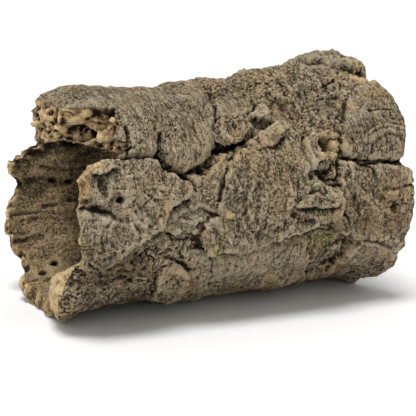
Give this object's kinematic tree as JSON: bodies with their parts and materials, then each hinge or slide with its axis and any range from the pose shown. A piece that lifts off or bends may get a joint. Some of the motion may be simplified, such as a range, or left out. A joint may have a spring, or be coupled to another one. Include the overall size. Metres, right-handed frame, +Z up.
{
  "type": "cork bark round",
  "caption": "Hollow open-ended tube of natural cork oak bark with plated, cracked, furrowed outside and torn edges, used as decor, hide or planter",
  "frame": {"origin": "middle of the bounding box at the level the lowest bark rests on", "axes": "+X along the tube to its right end as the picture shows it, -Y towards the picture's viewer, +Z up"},
  "size_m": [0.3266, 0.216, 0.2182],
  "materials": {
    "cork_bark": "rough dry bark"
  },
  "bodies": {
    "root": {"cork_bark_round": "cork_bark"}
  },
  "joints": []
}
